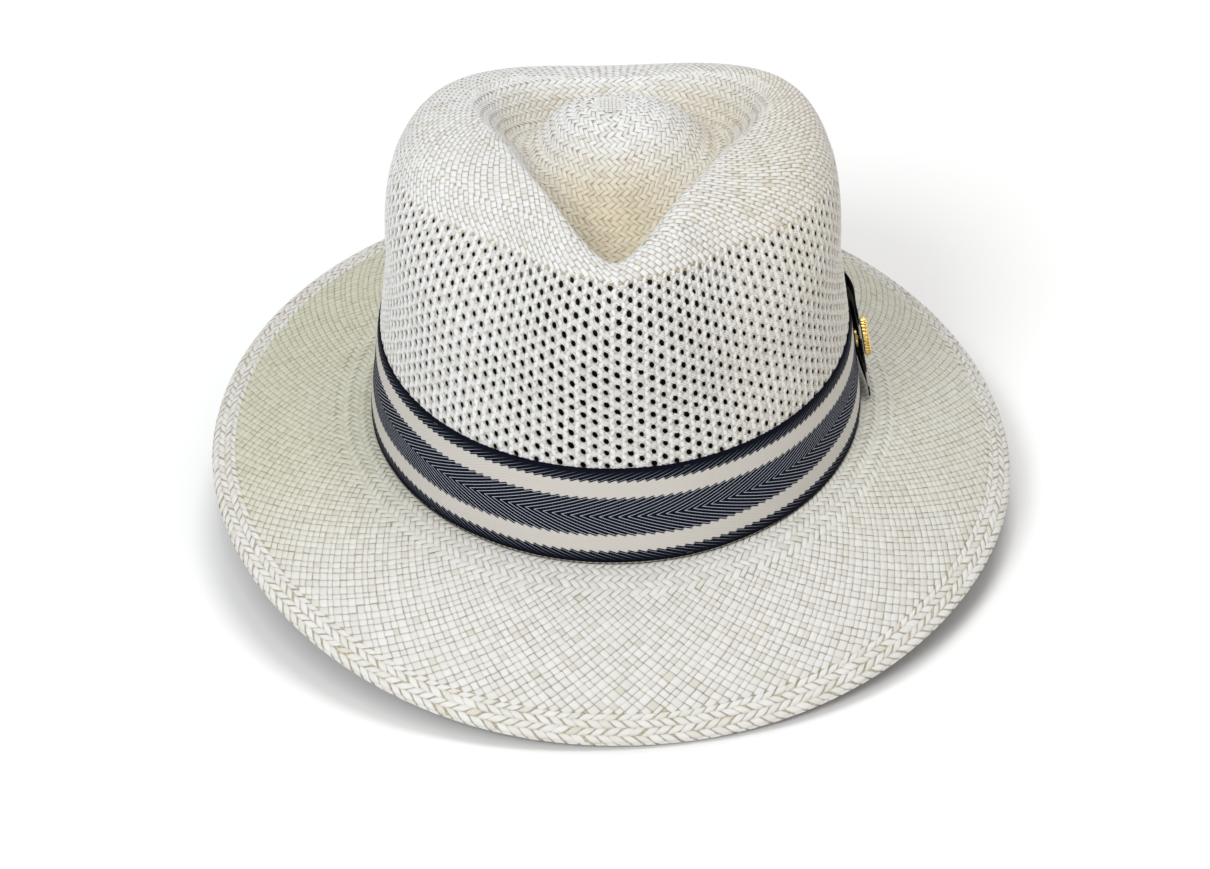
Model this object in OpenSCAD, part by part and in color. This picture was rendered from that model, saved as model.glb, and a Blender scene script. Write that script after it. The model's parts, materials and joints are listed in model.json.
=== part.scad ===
// Woven straw fedora: teardrop crown with a front pinch, open weave side wall,
// snap brim with a braided border, striped ribbon band, side bow and round pin.
// Millimetres, +Z up. The origin is the centre of the head opening at the break,
// where crown and brim meet. The front is -Y and the bow is on the +X side.

/* [Head and crown] */
// Outside width of the crown at the break
crown_w = 174; // [160:1:190]
// Outside length of the crown at the break
crown_l = 205; // [190:1:220]
// Thickness of the woven straw
straw_t = 1.4; // [1:0.1:2]
// Inward lean of the side walls, in degrees
lean_side = 8.4; // [5:0.1:10]
// Inward lean of the front and back walls, in degrees
lean_front = 6.5; // [4:0.1:9]
// How far the weave's centre lies behind the middle of the head
tip_back = 22; // [15:1:28]
// Height of the raised centre of the teardrop
dome_h = 103; // [98:0.5:105]
// Height of the crest along the sides
crest_h = 103.5; // [100:0.5:110]
// Drop of the crest at the front point of the pinch
pinch_drop = 7; // [3:0.5:10]
// Further drop of the crest at the back
back_drop = 11.5; // [3:0.5:14]
// Depth of the valley between the crest and the raised centre
valley_d = 13; // [8:0.5:16]
// Further depth of the valley towards the pinch
pinch_d = 9; // [4:0.5:10]
// Distance from the weave's centre to where the two arms of the pinch would meet
pinch_reach = 107; // [102:0.5:108]
// Distance from the weave's centre to the crest at the sides
crest_side = 50; // [46:1:54]
// Unevenness of the crest: further out at +X, less at -X
crest_uneven = 4; // [0:0.5:5]
// Distance from the weave's centre to the crest at the back
crest_back = 43; // [38:1:46]
// Depth of the dents on either side of the front ridge
dent_d = 4; // [0:0.5:5]

/* [Brim] */
// Width of the brim along its surface, border included
brim_w = 60; // [50:1:66]
// Drop of the brim's edge at the sides
drop_side = 16.5; // [8:0.5:20]
// Further drop at the front, where the brim is snapped down
drop_front = 21.5; // [0:0.5:24]
// How much less the brim drops at the back
lift_back = 7; // [0:0.5:8]
// Unevenness from side to side: more drop at +X, less at -X
drop_uneven = 5.5; // [0:0.5:6]
// Width of the braided border
border_w = 9.5; // [6:0.5:12]
// Thickness of the braided border
border_t = 2.4; // [2:0.1:3]

/* [Ribbon and bow] */
// Width of the ribbon
ribbon_w = 34; // [30:1:38]
// Thickness of the ribbon
ribbon_t = 0.7; // [0.5:0.1:1]
// Height of the ribbon's lower edge above the break
ribbon_z = 1; // [0.5:0.5:3]
// Room under the bow's free tail, where the pin's back plate sits
tail_gap = 1.9; // [1.8:0.1:2.5]

/* [Pin] */
// Diameter of the pin's round head
pin_d = 14; // [10:1:16]
// Thickness of the pin's head
pin_t = 2.4; // [2:0.1:3]
// Number of grooves around the head's milled edge
grooves = 32; // [20:1:36]
// Diameter of the pin's post
post_d = 1.6; // [1.2:0.1:2]

/* [Sweatband] */
// Height of the leather sweatband
sweat_h = 33; // [28:1:36]
// Thickness of the leather
leather_t = 0.9; // [0.6:0.1:1.2]
// Diameter of the reed along the sweatband's lower edge
reed_d = 1.6; // [1.2:0.1:2]
// Number of stitches along the reed
stitches = 96; // [60:4:120]

/* [Hidden] */

// Head oval at the break
a0 = crown_w / 2;
b0 = crown_l / 2;
// Steps around the hat: the front, where the pinch is sharp, gets the closest ones
STEPS = 60;
TURNS = [for (i = [0:STEPS - 1]) let (t = i * 360 / STEPS - 180) -90 + t - 28 * sin(t)];
// Evenly spaced steps for the plain bands
EVEN = [for (i = [0:STEPS - 1]) i * 360 / STEPS];
// Clearance between pieces that only touch
touch = 0.1;
// Hole clearance on the pin's post
post_clear = 0.08;
// Where the pin's post crosses the ribbon, and how far its axis tips up
pin_y = 4;
pin_z = ribbon_z + ribbon_w / 2 - 1;
pin_tilt = 9.5;
// Ends of the bow along the band, in degrees of the head oval from +X towards the back
tail_from = -5;
knot_from = 15;
knot_to = 21;
loop_to = 36;
// Height at which the straight side wall ends and the shoulder starts
wall_h = 62;

// Angle away from the front (-Y), 0 to 180, for a direction f in degrees
function off_front(f) = acos(-sin(f));
// 0 at the front, 1 at the back
function backness(f) = (1 - cos(off_front(f))) / 2;
// Bell curve around the front, w degrees wide
function bell(f, w) = exp(-pow(off_front(f) / w, 2));

// Distance from the weave's centre line to the oval (a, b) in direction f
function reach(f, a, b) =
    let (p = pow(cos(f) / a, 2) + pow(sin(f) / b, 2),
         q = 2 * tip_back * sin(f) / (b * b),
         r = pow(tip_back / b, 2) - 1)
    (-q + sqrt(q * q - 4 * p * r)) / (2 * p);
// Distance from the weave's centre line to the side wall's outside at height z
function wall(f, z) =
    let (w = reach(f, a0 - wall_h * tan(lean_side), b0 - wall_h * tan(lean_front)))
    reach(f, a0, b0) + (w - reach(f, a0, b0)) * z / wall_top(f);
function wall_top(f) = wall_h - 10 * bell(f, 30);

// Teardrop around the weave's centre: a circle of radius side, with two straight arms
// that meet at pinch_reach in front; round is how far the point is rounded, in degrees
function teardrop(f, side, arm_side, round) =
    side / sin(min(90, asin(arm_side / pinch_reach) + sqrt(pow(off_front(f), 2) + pow(round, 2))));
function arm_side(f) = crest_side + crest_uneven * cos(f);
// Flatter behind the centre, and fuller at the corners behind the ears
function behind(f) = (crest_back - arm_side(f)) * pow(max(0, sin(f)), 2)
    + 5 * exp(-pow((off_front(f) - 115) / 35, 2));
function crest_r(f) = teardrop(f, arm_side(f), arm_side(f), 2.5) + behind(f);
function crest_z(f) = crest_h - pinch_drop * bell(f, 12) + 1.5 * pow(sin(off_front(f)), 2)
    - back_drop * pow(backness(f), 3);
// The valley runs inside the crest, closest to it along the arms of the pinch
function valley_r(f) = teardrop(f, arm_side(f) - 19 + 11 * bell(f, 45), arm_side(f), 8) + behind(f);
function valley_z(f) = crest_h - back_drop * pow(backness(f), 3) - valley_d - pinch_d * bell(f, 30);
// Fullness of the shoulder between crest and side wall: flat on either side of the pinch
function fullness(f) = 3.3 - 1.75 * exp(-pow(off_front(f) / 58, 4)) + 0.8 * bell(f, 14)
    - 1.1 * pow(backness(f), 8);
// Dents that leave a ridge down the middle of the front, fading out above the ribbon
function dent(f, z) = dent_d * exp(-pow((off_front(f) - 22) / 10, 2))
    * ease(min(1, max(0, (z - ribbon_z - ribbon_w - 1) / 24)));

function ease(t) = (1 - cos(180 * t)) / 2;
// Outside of the crown along direction f, from near the centre out and down to the break
function meridian(f) =
    let (rv = valley_r(f), zv = valley_z(f), rc = crest_r(f), zc = crest_z(f),
         zw = wall_top(f), rw = wall(f, zw), k = 2 / fullness(f))
    concat([for (t = [0.2:0.2:0.8]) [rv * t, dome_h - (dome_h - zv) * ease(pow(t, 2 - bell(f, 45)))]],
           [for (t = [0:0.2:0.8]) [rv + (rc - rv) * t, zv + (zc - zv) * ease(t)]],
           [for (t = [0:0.125:0.875])
               let (z = zw + (zc - zw) * pow(cos(90 * t), k))
               [rc + (rw - rc - dent(f, z)) * pow(sin(90 * t), k), z]],
           [for (t = [0:0.25:1]) let (z = zw * (1 - t)) [wall(f, z) - dent(f, z), z]]);
// The same line moved inwards by t, square to itself
function inward(line, t) =
    [for (i = [0:len(line) - 1])
        let (p = line[max(0, i - 1)], q = line[min(len(line) - 1, i + 1)], d = q - p)
        i == len(line) - 1 ? [line[i].x - t, 0] : line[i] + t * [-abs(d.y), -d.x] / norm(d)
        + (d.y > 0 ? [2 * t * d.y / norm(d), 0] : [0, 0])];
// A point at distance r from the weave's centre line
function around(f, r, z) = [r * cos(f), tip_back + r * sin(f), z];

// Brim: a point of its top, u from 0 at the break to 1 at the edge
function brim_drop(f) = drop_side + drop_front * pow(max(0, -sin(f)), 2.2)
    + drop_uneven * cos(f) - lift_back * pow(max(0, sin(f)), 2);
function signed_pow(v, n) = sign(v) * pow(abs(v), n);
function brim_top(f, u) =
    let (d = brim_drop(f), out = u * 0.985 * sqrt(brim_w * brim_w - d * d), n = 2 / (2 + 0.05 * u))
    [(a0 + out) * signed_pow(cos(f), n), (b0 + out) * signed_pow(sin(f), n),
     -d * pow(max(0, u), 1.35)];
border_from = 1 - border_w / brim_w;

// Point on the head oval's side wall, out by g, at height z; f is the oval's own angle
function on_wall(f, z, g) =
    let (x = a0 * cos(f), y = b0 * sin(f), h = atan2(y - tip_back, x),
         n = [b0 * cos(f), a0 * sin(f)] / norm([b0 * cos(f), a0 * sin(f)]))
    around(h, wall(h, z), z) + [n.x * g, n.y * g, 0];

// Triangles that join ring after ring of m points; closed also joins last to first
function skin(n, m, closed = true) =
    [for (i = [0:n - (closed ? 1 : 2)]) for (j = [0:m - 1])
        let (a = i * m + j, b = i * m + (j + 1) % m,
             c = ((i + 1) % n) * m + (j + 1) % m, d = ((i + 1) % n) * m + j)
        each [[a, b, c], [a, c, d]]];
// A closed hoop through sections of equal length
module hoop(sections) {
    m = len(sections[0]);
    polyhedron([for (s = sections) each s], skin(len(sections), m));
}
// A strip with two ends through sections of equal length
module strip(sections) {
    n = len(sections);
    m = len(sections[0]);
    ends = [[for (j = [m - 1:-1:0]) j], [for (j = [0:m - 1]) (n - 1) * m + j]];
    polyhedron([for (s = sections) each s], concat(skin(n, m, false), ends));
}
// Puts its child on the pin's axis: child +Z is outwards, its origin on the ribbon's face
module on_pin_axis() {
    translate(on_wall(0, pin_z, ribbon_t + touch) + [0, pin_y, 0]) rotate([0, 90 - pin_tilt, 0]) children();
}

module crown() {
    outside = [for (f = TURNS) meridian(f)];
    m = len(outside[0]);
    rings = [for (i = [0:STEPS - 1])
        let (f = TURNS[i], o = outside[i], n = inward(o, straw_t))
        concat([for (p = o) around(f, p.x, p.y)], [for (j = [m - 1:-1:0]) around(f, n[j].x, n[j].y)])];
    top = STEPS * 2 * m;
    faces = [for (i = [0:STEPS - 1]) let (a = i * 2 * m, b = ((i + 1) % STEPS) * 2 * m) each concat(
        [for (j = [0:2 * m - 2]) each [[a + j, a + j + 1, b + j + 1], [a + j, b + j + 1, b + j]]],
        [[top, a, b], [top + 1, b + 2 * m - 1, a + 2 * m - 1]])];
    centre = [[0, tip_back, dome_h], [0, tip_back, dome_h - straw_t]];
    color("ivory")
        polyhedron(concat([for (r = rings) each r], centre), faces);
}

module brim() {
    color("ivory")
        hoop([for (f = TURNS) concat(
            [brim_top(f, 0) - straw_t * [cos(f), sin(f), 0]],
            [for (u = [0:0.125:1]) brim_top(f, u * border_from)],
            [for (u = [1:-0.125:0]) brim_top(f, u * border_from) - [0, 0, straw_t]],
            [brim_top(f, 0) - straw_t * [cos(f), sin(f), 1]])]);
}

module brim_border() {
    proud = (border_t - straw_t) / 2;
    color("wheat")
        hoop([for (f = TURNS)
            let (in = brim_top(f, border_from), mid = brim_top(f, (1 + border_from) / 2),
                 out = brim_top(f, 1),
                 up = [0, 0, proud], down = [0, 0, straw_t + proud])
            [in + up * 0.5, mid + up, out - [0, 0, 0.2], out - [0, 0, straw_t - 0.2], mid - down,
             in - [0, 0, straw_t + proud * 0.5]]]);
}

module hatband() {
    low = ribbon_z;
    high = ribbon_z + ribbon_w;
    color("midnightblue")
        hoop([for (f = TURNS) [
            around(f, wall(f, low) + touch, low), around(f, wall(f, low) + touch + ribbon_t, low),
            around(f, wall(f, high) + touch + ribbon_t, high), around(f, wall(f, high) + touch, high)]]);
}

// A ribbon layer along the band, from gap g0 to g1 above the wall, lists of [angle, g0, g1]
module layer(stations, low, high) {
    strip([for (s = stations) [
        on_wall(s[0], low, s[1]), on_wall(s[0], low, s[2]),
        on_wall(s[0], high, s[2]), on_wall(s[0], high, s[1])]]);
}

module bow_loop() {
    base = ribbon_t + 4 * touch;
    rise = 3;
    color("midnightblue")
        layer([for (t = [0:0.1:1])
                let (full = 0.5 + 0.5 * pow(sin(180 * min(1, 0.18 + 0.8 * t)), 0.6))
                [knot_from + (loop_to - knot_from) * t, base, base + rise * full]],
              ribbon_z + 0.5, ribbon_z + ribbon_w - 0.5);
}

module bow_tail() {
    base = ribbon_t + 4 * touch;
    color("midnightblue")
        difference() {
            layer([for (t = [0:0.1:1])
                    let (f = tail_from + (knot_from - 0.3 - tail_from) * t,
                         g = base + tail_gap - 3 * touch + 0.9 * pow(t, 3))
                    [f, g, g + ribbon_t]],
                  ribbon_z + 0.2, ribbon_z + ribbon_w - 0.2);
            on_pin_axis()
                cylinder(h = 12, d = post_d + 2 * post_clear, center = true, $fn = 32);
        }
}

module bow_knot() {
    in = ribbon_t + 4 * touch;
    out = in + 3.4;
    low = ribbon_z - 0.4;
    high = ribbon_z + ribbon_w + 0.4;
    color("midnightblue")
        strip([for (f = [knot_from:1:knot_to]) [
            on_wall(f, low - ribbon_t, in), on_wall(f, low - ribbon_t, out + ribbon_t),
            on_wall(f, high + ribbon_t, out + ribbon_t), on_wall(f, high + ribbon_t, in),
            on_wall(f, high, in), on_wall(f, high, out), on_wall(f, low, out), on_wall(f, low, in)]]);
}

// Where the pin's pieces lie along its axis, counted from the ribbon band's face
tail_face = tail_gap + ribbon_t + touch;
head_base = tail_face + 0.35;
plate_t = 0.7;
plate_base = 0.6;

module pin_head() {
    r = pin_d / 2;
    color("gold")
        on_pin_axis()
            translate([0, 0, head_base]) difference() {
                rotate_extrude($fn = 64)
                    polygon([[post_d / 2, 0], [r - 0.6, 0], [r, 0.5], [r, pin_t - 0.4], [r - 0.4, pin_t],
                             [r - 1.2, pin_t], [r - 1.6, pin_t - 0.5], [post_d / 2, pin_t - 0.3]]);
                for (i = [0:grooves - 1])
                    rotate([0, 0, i * 360 / grooves]) translate([r + 0.2, 0, -1])
                        cylinder(h = pin_t + 2, r = 0.5, $fn = 16);
            }
}

module pin_post() {
    color("goldenrod")
        on_pin_axis()
            translate([0, 0, plate_base])
                cylinder(h = head_base + pin_t - 0.3 - plate_base, d = post_d, $fn = 32);
}

module pin_backplate() {
    color("goldenrod")
        on_pin_axis()
            translate([0, 0, plate_base]) difference() {
                cylinder(h = plate_t, d = 7, $fn = 48);
                translate([0, 0, -1]) cylinder(h = plate_t + 2, d = post_d, $fn = 32);
            }
}

// Sweatband: its lower edge is sewn to the break, its upper edge stands free of the wall
sweat_low = straw_t + 0.9;
sweat_high = straw_t + 1.2;

module sweatband() {
    color("saddlebrown")
        hoop([for (f = EVEN) [
            on_wall(f, 0.4, -sweat_low - leather_t), on_wall(f, 0.4, -sweat_low),
            on_wall(f, sweat_h / 2, -sweat_high), on_wall(f, sweat_h, -sweat_high),
            on_wall(f, sweat_h, -sweat_high - leather_t),
            on_wall(f, sweat_h / 2, -sweat_high - leather_t)]]);
}

module sweatband_reed() {
    r = reed_d / 2;
    color("sienna")
        hoop([for (f = EVEN) [for (k = [0:7])
            on_wall(f, 0, -straw_t - 0.5 - r + r * cos(45 * k)) + [0, 0, -r - 0.1 + r * sin(-45 * k)]]]);
}

module sweatband_tape() {
    color("tan")
        hoop([for (f = TURNS) [for (p = [[0.5, 0.5], [0.5, 0.15], [9, 0.15], [9, 0.5]])
            around(f, wall(f, p[0]) - straw_t - p[1], p[0])]]);
}

module sweatband_stitches() {
    color("cornsilk")
        for (i = [0:stitches - 1]) {
            f = i * 360 / stitches;
            g = -sweat_low - leather_t - 0.5;
            translate(on_wall(f, 2.2, g))
                rotate([0, 0, atan2(b0 * cos(f), -a0 * sin(f))]) rotate([0, 90, 0])
                    cylinder(h = 3.4, r = 0.25, center = true, $fn = 16);
        }
}

module sweatband_bow() {
    g = -sweat_high - leather_t - 0.3;
    place = on_wall(90, 14, g);
    color("black")
        translate(place) rotate([90 + lean_front, 0, 0]) {
            for (side = [-1, 1])
                translate([side * 5.2, 0, 0.5]) rotate([0, 0, side * 8])
                    linear_extrude(1) polygon([[-4.5, -1.2], [4, -3.2], [5, 0], [4, 3.2], [-4.5, 1.2]]);
            translate([0, 0, 0.3]) linear_extrude(1.6) square([3, 4], center = true);
        }
}

module ribbon_tacks() {
    color("black")
        for (side = [1, -1], f = [0, 60, 120, 180, 240, 300])
            translate(on_wall(f + 45, side > 0 ? ribbon_z + ribbon_w - 1.2 : ribbon_z + 1.2,
                              ribbon_t + touch + 0.15))
                rotate([0, 0, atan2(b0 * cos(f + 45), -a0 * sin(f + 45))]) rotate([0, 90, 0])
                    cylinder(h = 2, r = 0.2, center = true, $fn = 16);
}

crown();
brim();
brim_border();
hatband();
bow_loop();
bow_knot();
bow_tail();
pin_head();
pin_post();
pin_backplate();
sweatband();
sweatband_reed();
sweatband_tape();
sweatband_stitches();
sweatband_bow();
ribbon_tacks();
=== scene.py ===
"""Woven straw fedora: real strands for the weave, striped ribbon, bow, pin and sweatband.

Everything is in metres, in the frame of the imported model: +Z up, the front is -Y and the
bow is on the +X side. Angles are in degrees, as in the part's own source.
"""

import json
import math

import bpy
import numpy as np
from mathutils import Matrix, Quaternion, Vector


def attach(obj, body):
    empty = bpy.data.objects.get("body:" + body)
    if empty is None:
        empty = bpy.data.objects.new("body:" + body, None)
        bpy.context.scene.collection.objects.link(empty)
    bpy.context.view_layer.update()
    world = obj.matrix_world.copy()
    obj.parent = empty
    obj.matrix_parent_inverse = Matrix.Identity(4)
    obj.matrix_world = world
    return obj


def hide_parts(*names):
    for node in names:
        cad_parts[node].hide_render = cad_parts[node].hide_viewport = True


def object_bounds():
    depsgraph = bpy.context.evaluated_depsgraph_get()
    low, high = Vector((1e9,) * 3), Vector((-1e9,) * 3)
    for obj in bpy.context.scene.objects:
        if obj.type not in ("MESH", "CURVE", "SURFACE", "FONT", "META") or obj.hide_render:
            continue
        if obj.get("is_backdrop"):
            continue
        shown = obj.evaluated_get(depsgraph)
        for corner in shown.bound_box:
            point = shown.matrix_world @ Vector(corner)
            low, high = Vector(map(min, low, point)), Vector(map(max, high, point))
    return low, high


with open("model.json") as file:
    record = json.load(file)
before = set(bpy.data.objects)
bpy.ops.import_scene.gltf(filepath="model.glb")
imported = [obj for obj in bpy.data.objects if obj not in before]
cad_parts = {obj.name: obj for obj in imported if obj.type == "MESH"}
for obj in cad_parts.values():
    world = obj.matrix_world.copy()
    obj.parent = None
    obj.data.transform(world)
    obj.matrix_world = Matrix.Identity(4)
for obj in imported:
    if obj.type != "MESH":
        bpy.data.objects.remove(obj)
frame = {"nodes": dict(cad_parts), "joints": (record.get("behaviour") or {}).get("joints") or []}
cad_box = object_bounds()
rng = np.random.default_rng(1907)

# Head and crown
HALF_W, HALF_L = 0.087, 0.1025
STRAW = 0.0014
LEAN_SIDE, LEAN_FRONT = 8.4, 6.5
TIP_BACK = 0.022
DOME_H, CREST_H = 0.103, 0.1035
PINCH_DROP, SIDE_RISE, BACK_DROP = 0.007, 0.0015, 0.0115
VALLEY_D, PINCH_D = 0.013, 0.009
PINCH_REACH, CREST_SIDE, CREST_UNEVEN, CREST_BACK = 0.107, 0.050, 0.004, 0.043
CORNER_FULL = 0.005
VALLEY_IN, VALLEY_CLOSER = 0.019, 0.011
WALL_H, WALL_DIP = 0.062, 0.010
DENT, DENT_FADE = 0.004, 0.024
# Height where the dense weave turns into the open weave, and where that ends under the ribbon
OPEN_TOP, OPEN_RISE, OPEN_UNEVEN, OPEN_BACK = 0.0915, 0.003, 0.0015, 0.013
OPEN_LOW = 0.029

# Weave: rows and strand width of the crown, its little square mat in the middle, and its halves
CROWN_ROWS, CROWN_PITCH = 44, 0.00262
MAT_HALF, MAT_CELL, MAT_R = 9, 0.0013, 0.0056
CENTRE_FROM, CROWN_SPLIT = 0.0042, 0.010
# Lace: columns of holes, rows of holes, and a hole's size as a share of its place
LACE_COLUMNS, LACE_ROWS, LACE_HOLE = 148, 16, 0.262
DC, DR = 1 / LACE_COLUMNS, 1 / LACE_ROWS
# Brim and border: strands round, twined rings and their width
BRIM_COLUMNS, RINGS, RING_W = 214, 5, 0.0029
BORDER_COLUMNS = 226

# Brim
BRIM_W, DROP_SIDE, DROP_FRONT = 0.060, 0.0165, 0.0215
DROP_UNEVEN, LIFT_BACK = 0.0055, 0.007
BORDER_W, BORDER_T = 0.0095, 0.0024
BORDER_FROM = 1 - BORDER_W / BRIM_W

# Ribbon, bow and pin
RIBBON_W, RIBBON_T, RIBBON_Z = 0.034, 0.0007, 0.001
RIBBON_SHEET = 0.0006
TAIL_GAP = 0.0019
TAIL_FROM, KNOT_FROM, KNOT_TO, LOOP_TO = -5, 15, 21, 36
PIN_R, HEAD_BASE = 0.007, 0.00305

# Sweatband
SWEAT_H, LEATHER = 0.033, 0.0009
SWEAT_LOW, SWEAT_HIGH = 0.0023, 0.0026
REED_R = 0.0008


def cosd(a):
    return np.cos(np.radians(a))


def sind(a):
    return np.sin(np.radians(a))


def ease(t):
    return (1 - np.cos(np.pi * np.clip(t, 0, 1))) / 2


def spow(v, n):
    return np.sign(v) * np.abs(v) ** n


def unit(v):
    return v / np.maximum(np.linalg.norm(v, axis=-1, keepdims=True), 1e-12)


def run_length(points, axis=0):
    """Distance covered up to each point, for points that follow each other along an axis."""
    step = np.linalg.norm(np.diff(points, axis=axis), axis=-1)
    return np.concatenate([np.zeros_like(step.take([0], axis)), np.cumsum(step, axis)], axis)


# ---- shape of the hat


def off_front(f):
    """Angle away from the front, 0 to 180, for direction f."""
    return np.degrees(np.arccos(np.clip(-sind(f), -1, 1)))


def backness(f):
    return (1 - cosd(off_front(f))) / 2


def bell(f, w):
    return np.exp(-((off_front(f) / w) ** 2))


def reach(f, a, b):
    """Distance from the weave's centre line to the oval (a, b) in direction f."""
    p = (cosd(f) / a) ** 2 + (sind(f) / b) ** 2
    q = 2 * TIP_BACK * sind(f) / b**2
    r = (TIP_BACK / b) ** 2 - 1
    return (-q + np.sqrt(q * q - 4 * p * r)) / (2 * p)


def wall_top(f):
    return WALL_H - WALL_DIP * bell(f, 30)


def wall(f, z):
    """Distance from the weave's centre line to the side wall's outside at height z."""
    lean_x, lean_y = (WALL_H * math.tan(math.radians(lean)) for lean in (LEAN_SIDE, LEAN_FRONT))
    low, high = reach(f, HALF_W, HALF_L), reach(f, HALF_W - lean_x, HALF_L - lean_y)
    return low + (high - low) * z / wall_top(f)


def arm_side(f):
    return CREST_SIDE + CREST_UNEVEN * cosd(f)


def teardrop(f, side, rounding):
    """Distance to a teardrop whose arms meet at the pinch, side away from its middle line."""
    opening = np.degrees(np.arcsin(arm_side(f) / PINCH_REACH))
    return side / sind(np.minimum(90, opening + np.sqrt(off_front(f) ** 2 + rounding**2)))


def behind(f):
    """What the teardrop's back adds: a flatter end, and fuller corners."""
    flat = (CREST_BACK - arm_side(f)) * np.maximum(0, sind(f)) ** 2
    return flat + CORNER_FULL * np.exp(-(((off_front(f) - 115) / 35) ** 2))


def crest(f):
    """Distance from the weave's centre line to the crest round the teardrop."""
    return teardrop(f, arm_side(f), 2.5) + behind(f)


def dent(f, z):
    """Depth of the dents on either side of the front ridge."""
    fade = ease((z - RIBBON_Z - RIBBON_W - 0.001) / DENT_FADE)
    return DENT * np.exp(-(((off_front(f) - 22) / 10) ** 2)) * fade


def around(f, r, z):
    return np.stack([r * cosd(f), TIP_BACK + r * sind(f), z + 0 * r], -1)


LINE_STEPS = 36


def crown_lines(f):
    """Outside of the crown for an array of directions: one line each, centre to break."""
    f = f[:, None]
    back = BACK_DROP * backness(f) ** 3
    rc = crest(f)
    zc = CREST_H - PINCH_DROP * bell(f, 12) + SIDE_RISE * sind(off_front(f)) ** 2 - back
    rv = teardrop(f, arm_side(f) - VALLEY_IN + VALLEY_CLOSER * bell(f, 45), 8) + behind(f)
    zv = CREST_H - back - VALLEY_D - PINCH_D * bell(f, 30)
    zw = wall_top(f)
    # power of the shoulder's superellipse: boxier at the sides, sharper at the pinch and the back
    full = 3.3 - 1.75 * np.exp(-((off_front(f) / 58) ** 4)) + 0.8 * bell(f, 14) - 1.1 * backness(f) ** 8
    k = 2 / full
    t = np.linspace(0, 1, LINE_STEPS, endpoint=False)[None]
    dome = rv * t, DOME_H - (DOME_H - zv) * ease(t ** (2 - bell(f, 45)))
    inner = rv + (rc - rv) * t, zv + (zc - zv) * ease(t)
    zs = zw + (zc - zw) * cosd(90 * t) ** k
    shoulder = rc + (wall(f, zw) - rc - dent(f, zs)) * sind(90 * t) ** k, zs
    down = zw * (1 - np.linspace(0, 1, 25)[None])
    side = wall(f, down) - dent(f, down), down
    r, z = (np.concatenate(parts, 1) for parts in zip(dome, inner, shoulder, side))
    return around(f, r, z)


def brim_drop(f):
    front, back = np.maximum(0, -sind(f)) ** 2.2, np.maximum(0, sind(f)) ** 2
    return DROP_SIDE + DROP_FRONT * front + DROP_UNEVEN * cosd(f) - LIFT_BACK * back


def brim_top(f, u):
    """A point of the brim's top, u from 0 at the break to 1 at the edge."""
    d = brim_drop(f)
    out = u * 0.985 * np.sqrt(BRIM_W**2 - d**2)
    n = 2 / (2 + 0.05 * u)
    x, y = (HALF_W + out) * spow(cosd(f), n), (HALF_L + out) * spow(sind(f), n)
    return np.stack([x, y, -d * np.maximum(u, 0) ** 1.35], -1)


def on_wall(f, z, gap):
    """Point on the side wall of the head oval, out by gap, at height z; f is the oval's own angle."""
    f, z, gap = np.broadcast_arrays(np.asarray(f, float), z, gap)
    x, y = HALF_W * cosd(f), HALF_L * sind(f)
    h = np.degrees(np.arctan2(y - TIP_BACK, x))
    nx, ny = HALF_L * cosd(f), HALF_W * sind(f)
    size = np.hypot(nx, ny)
    return around(h, wall(h, z), z) + np.stack([nx / size * gap, ny / size * gap, 0 * gap], -1)


TURNS = 720
_even = np.arange(TURNS) * 360 / TURNS
# Directions round the hat from the back, closest together at the pinch
DIRECTIONS = 90 + _even + 14 * sind(_even)


class Surface:
    """A band of the hat's skin: w runs round from the back, 0 to 1, and t across it, 0 to 1."""

    def __init__(self, lines, steps=1440):
        ring = np.concatenate([lines, lines[:1]], 0)
        run = run_length(ring)
        self.perimeter = run[-1].copy()
        self.steps, self.rows = steps, ring.shape[1]
        share = np.linspace(0, 1, steps + 1)
        evened = [
            np.stack([np.interp(share * run[-1, k], run[:, k], ring[:, k, c]) for c in range(3)], -1)
            for k in range(self.rows)
        ]
        self.points = np.stack(evened, 1)
        wrapped = np.concatenate([self.points[-2:-1], self.points, self.points[1:2]], 0)
        along = (wrapped[2:] - wrapped[:-2]) / 2
        self.normals = unit(np.cross(np.gradient(self.points, axis=1), along))
        self.height = np.linalg.norm(np.diff(self.points, axis=1), axis=2).sum(1).mean()

    def at(self, w, t):
        x = (w % 1) * self.steps
        y = np.clip(t, 0, 1) * (self.rows - 1)
        i = np.minimum(x.astype(int), self.steps - 1)
        j = np.minimum(y.astype(int), self.rows - 2)
        fx, fy = (x - i)[..., None], (y - j)[..., None]

        def mixed(a):
            near, far = (a[i, row] * (1 - fx) + a[i + 1, row] * fx for row in (j, j + 1))
            return near * (1 - fy) + far * fy

        return mixed(self.points), mixed(self.normals)

    def round_at(self, t):
        return np.interp(t, np.linspace(0, 1, self.rows), self.perimeter)


def cut_lines(lines, start, end, rows):
    """The part of each line from arc length start to end, in even steps."""
    run = run_length(lines, 1)
    start = np.broadcast_to(start, len(lines))
    out = np.empty((len(lines), rows, 3))
    for i, line in enumerate(lines):
        s = np.linspace(start[i], end[i], rows)
        for c in range(3):
            out[i, :, c] = np.interp(s, run[i], line[:, c])
    return out


def arc_at_height(lines, first, height):
    """Arc length at which each line comes down to a height, looking from point number first."""
    rows = zip(lines, run_length(lines, 1), np.broadcast_to(height, len(lines)))
    return np.array([np.interp(-h, -line[first:, 2], run[first:]) for line, run, h in rows])


# ---- meshes from arrays


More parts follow.
